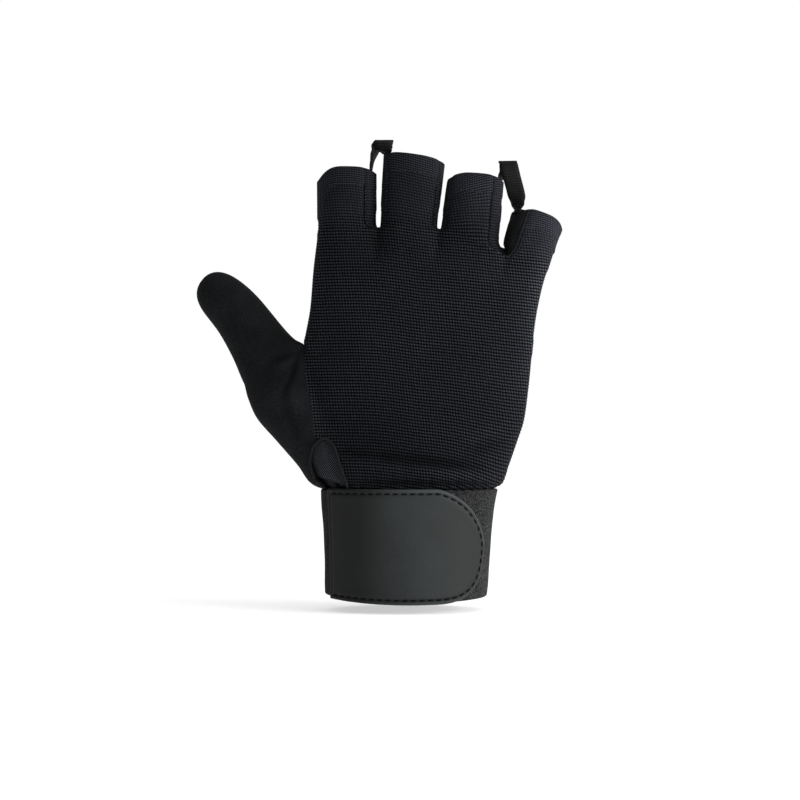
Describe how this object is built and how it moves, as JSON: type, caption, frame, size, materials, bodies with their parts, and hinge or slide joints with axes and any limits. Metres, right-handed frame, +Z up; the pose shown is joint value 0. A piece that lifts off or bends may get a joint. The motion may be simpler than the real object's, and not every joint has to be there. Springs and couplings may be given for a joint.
{
  "type": "wheelchair glove",
  "caption": "Black right-hand wheelchair glove with half fingers, a covered thumb, ribbed knit back, suede sides, ribbon pull loops and an elastic wrist cuff with a stitched tab.",
  "frame": {"origin": "centre of the wrist opening, at the foot of the cuff, where a hand goes in and holds the glove up", "axes": "+Z up the hand to the fingertips, -Y out of the back of the hand, +X to the little finger, so the thumb is towards -X"},
  "size_m": [0.1574, 0.053, 0.1984],
  "materials": {
    "knit": "matt ribbed knit",
    "suede": "matt synthetic suede",
    "elastic": "woven elastic",
    "tab_leather": "satin synthetic leather",
    "ribbon": "ribbed ribbon",
    "binding": "corded binding",
    "gusset": "fine rib knit"
  },
  "bodies": {
    "root": {"back_panel": "knit", "palm_panel": "suede", "palm_panel_index": "suede", "palm_panel_middle": "suede", "palm_panel_ring": "suede", "palm_panel_little": "suede", "thumb_shell": "suede", "fourchette_index_middle": "suede", "fourchette_middle_ring": "suede", "fourchette_ring_little": "suede", "cuff_band": "elastic", "closure_tab": "tab_leather", "pull_loop_index": "ribbon", "pull_loop_little": "ribbon", "vent_binding": "binding", "vent_gusset": "gusset"}
  },
  "joints": []
}
